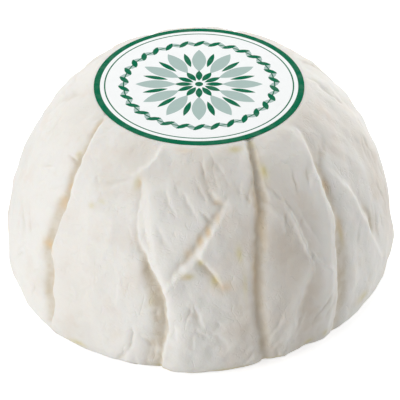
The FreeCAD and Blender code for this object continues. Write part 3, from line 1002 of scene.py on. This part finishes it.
def leaf_ring_group():
    """Leaves set round a circle: each is a pointed oval, turned by a tilt from the circle."""
    tree, nodes, start, end = new_group("ring_of_leaves", "Mask", "X", "Y", "Radius", "Count",
                                        "Half length", "Half width", "Tilt", "Turn")
    angle = nodes.plus(nodes.math("ARCTAN2", start["Y"], start["X"]), start["Turn"])
    half_cell = nodes.math("DIVIDE", math.pi, start["Count"])
    local = nodes.math("WRAP", angle, half_cell, nodes.times(half_cell, -1.0))
    reach = nodes.reach(start["X"], start["Y"])
    across = nodes.times(nodes.math("SINE", local), reach)
    out = nodes.minus(nodes.times(nodes.math("COSINE", local), reach), start["Radius"])
    cosine = nodes.math("COSINE", start["Tilt"])
    sine = nodes.math("SINE", start["Tilt"])
    along = nodes.plus(nodes.times(across, cosine), nodes.times(out, sine))
    side = nodes.minus(nodes.times(out, cosine), nodes.times(across, sine))
    share = nodes.math("DIVIDE", along, start["Half length"])
    fullness = nodes.minus(1.0, nodes.times(share, share))
    width = nodes.times(fullness, start["Half width"])
    nodes.feed(end, print_edge(nodes, nodes.minus(width, nodes.math("ABSOLUTE", side))))
    return tree


RING = ring_group()
LEAVES = leaf_ring_group()

# The garland is leaves on both sides of a round stem, and the rosette is rings of petals.
GARLAND_RADIUS = 24.4
GARLAND_LEAVES = 30
GARLAND_TILT = 0.75
STEM_WIDTH = 0.4
PETALS = 12


def label_print(nodes, place):
    """The print on the paper, colour over colour: border rings, a garland and a rosette."""
    parts = nodes.add("ShaderNodeSeparateXYZ", {"Vector": place}).outputs
    x = nodes.math("DIVIDE", parts["X"], MM)
    y = nodes.math("DIVIDE", parts["Y"], MM)
    reach = nodes.reach(x, y)

    def ring(inner, outer):
        """A ring between two radii."""
        return nodes.group(RING, radius=reach, inner=inner, outer=outer)

    def disc(radius):
        """A full round, its inner edge out of reach."""
        return ring(-1.0, radius)

    def leaves(radius, count, half_length, half_width, tilt=math.pi / 2, turn=0.0):
        """Leaves round a circle, straight out unless they are tilted."""
        return nodes.group(LEAVES, x=x, y=y, radius=radius, count=count, half_length=half_length,
                           half_width=half_width, tilt=tilt, turn=turn)

    garland = (GARLAND_RADIUS, GARLAND_LEAVES, 2.5, 0.95)
    layers = [
        (ring(LABEL_RADIUS - 2.0, LABEL_RADIUS + 1.0), PRINT_GREEN),
        (ring(LABEL_RADIUS - 3.75, LABEL_RADIUS - 3.3), PRINT_GREEN),
        (leaves(*garland, GARLAND_TILT), PRINT_GREY),
        (leaves(*garland, -GARLAND_TILT, math.pi / GARLAND_LEAVES), PRINT_GREEN),
        (ring(GARLAND_RADIUS - STEM_WIDTH / 2, GARLAND_RADIUS + STEM_WIDTH / 2), PRINT_GREEN),
        (leaves(14.0, PETALS, 6.6, 2.3), PRINT_GREY),
        (leaves(14.6, PETALS, 4.2, 0.95, turn=math.pi / PETALS), PRINT_GREEN),
        (leaves(5.0, PETALS, 2.9, 1.1), PRINT_GREEN),
        (disc(2.0), PAPER_WHITE),
        (disc(1.3), PRINT_GREEN),
    ]
    colour = PAPER_WHITE
    for mask, ink in layers:
        colour = nodes.blend(mask, colour, ink)
    return colour


def label_material():
    """Coated white paper with its print, faintly fibrous."""
    material, nodes, end = new_material("printed_paper")
    place = nodes.add("ShaderNodeTexCoord").outputs["Object"]
    colour = label_print(nodes, place)
    shade = nodes.group(PATCHES, place=place, scale=260.0, start=0.40, full=0.75)
    colour = nodes.blend(nodes.times(shade, 0.06), colour, PAPER_SHADE)
    height = nodes.group(FELT, place=place, coarse=900.0, fine=3600.0)
    bump = nodes.add("ShaderNodeBump", {"Height": height, "Strength": 0.06, "Distance": 0.0002})
    surface = nodes.add("ShaderNodeBsdfPrincipled", {
        "Base Color": colour, "Normal": bump.outputs[0], "Roughness": 0.6,
        "Specular IOR Level": 0.02})
    nodes.feed(end, surface.outputs[0])
    return material


# ---- floor, light and camera

WHITE = (1.0, 1.0, 1.0, 1.0)
MIDDLE_HEIGHT = OVERALL_HEIGHT / 2 * MM

# The floor: its size and how far it lies below the foot, in metres, its grey paint, and the glow
# that lifts the grey to white for the camera.
FLOOR_SIZE = 6.0
FLOOR_DROP = 0.0002
FLOOR_PAINT = (0.80, 0.80, 0.80, 1.0)
FLOOR_GLOW = 0.64

# How strongly the white backdrop lights the cheese.
BACKDROP_LIGHT = 0.31

# Soft lights: name, angle round from the front and angle up, distance, width and height in
# metres, power in watts.
LIGHTS = [
    ("key_left", -50, 17, 0.80, 0.45, 0.40, 3.35),
    ("fill_right", 104, 8, 0.80, 0.40, 0.40, 2.55),
    ("top", 0, 88, 0.80, 0.40, 0.40, 0.80),
    ("back_top", 180, 48, 0.80, 0.45, 0.40, 3.10),
]

# The camera: its distance and its place to the side in metres, the angle it stands up, the angle
# it aims below the middle of the cheese, and its lens in millimetres.
CAMERA_DISTANCE = 0.65
CAMERA_SIDE = 0.0003
CAMERA_RISE = 36.0
CAMERA_DROP = 0.83
CAMERA_LENS = 175.3


def stand_off(distance, around, above):
    """A place that far from the middle of the cheese, at these angles in degrees."""
    turn, rise = math.radians(around), math.radians(above)
    return (distance * math.sin(turn) * math.cos(rise),
            -distance * math.cos(turn) * math.cos(rise),
            distance * math.sin(rise) + MIDDLE_HEIGHT)


def build_floor():
    """A white floor: plain white to the camera, with the soft shadow of the cheese left on it."""
    clear_selection()
    bpy.ops.mesh.primitive_plane_add(size=FLOOR_SIZE, location=(0, 0, -FLOOR_DROP))
    floor = bpy.context.object
    floor.name = "floor"
    material, nodes, end = new_material("white_floor")
    paint = nodes.add("ShaderNodeBsdfDiffuse", {"Color": FLOOR_PAINT})
    glow = nodes.add("ShaderNodeEmission", {"Color": WHITE, "Strength": FLOOR_GLOW})
    shown = nodes.add("ShaderNodeAddShader", {0: paint.outputs[0], 1: glow.outputs[0]})
    mix = nodes.add("ShaderNodeMixShader", {0: nodes.seen_straight(), 1: paint.outputs[0],
                                            2: shown.outputs[0]})
    nodes.feed(end, mix.outputs[0])
    floor.data.materials.append(material)


def build_world():
    """An even backdrop: plain white to the camera, and a weaker light on the cheese."""
    world = bpy.data.worlds.new("studio")
    bpy.context.scene.world = world
    world.use_nodes = True
    world.node_tree.nodes.clear()
    nodes = Nodes(world.node_tree)
    end = nodes.add("ShaderNodeOutputWorld").inputs["Surface"]
    strength = nodes.math("MULTIPLY_ADD", nodes.seen_straight(), 1.0 - BACKDROP_LIGHT,
                          BACKDROP_LIGHT)
    backdrop = nodes.add("ShaderNodeBackground", {"Color": WHITE, "Strength": strength})
    nodes.feed(end, backdrop.outputs[0])


def build_lights():
    """Soft panels that all face the middle of the cheese."""
    for name, around, above, distance, width, height, power in LIGHTS:
        lamp = bpy.data.lights.new(name, "AREA")
        lamp.shape = "RECTANGLE"
        lamp.size, lamp.size_y = width, height
        lamp.energy = power
        panel = bpy.data.objects.new(name, lamp)
        bpy.context.scene.collection.objects.link(panel)
        panel.location = stand_off(distance, around, above)
        panel.rotation_euler = (math.radians(90 - above), 0, math.radians(around))
        panel.visible_camera = False


def build_camera():
    """A long lens that looks down on the front, aimed a little below the middle of the cheese."""
    lens = bpy.data.cameras.new("camera")
    lens.lens = CAMERA_LENS
    camera = bpy.data.objects.new("camera", lens)
    bpy.context.scene.collection.objects.link(camera)
    x, y, z = stand_off(CAMERA_DISTANCE, 0, CAMERA_RISE)
    camera.location = (x + CAMERA_SIDE, y, z)
    camera.rotation_euler = (math.radians(90 - CAMERA_RISE - CAMERA_DROP), 0, 0)
    bpy.context.scene.camera = camera


# ---- the whole

build_camera()
build_world()
build_lights()
build_floor()
finish_piece(build_rind(), rind_material(), "cheese")
finish_piece(build_label(), label_material(), "label")

bpy.context.scene.view_settings.view_transform = "Standard"
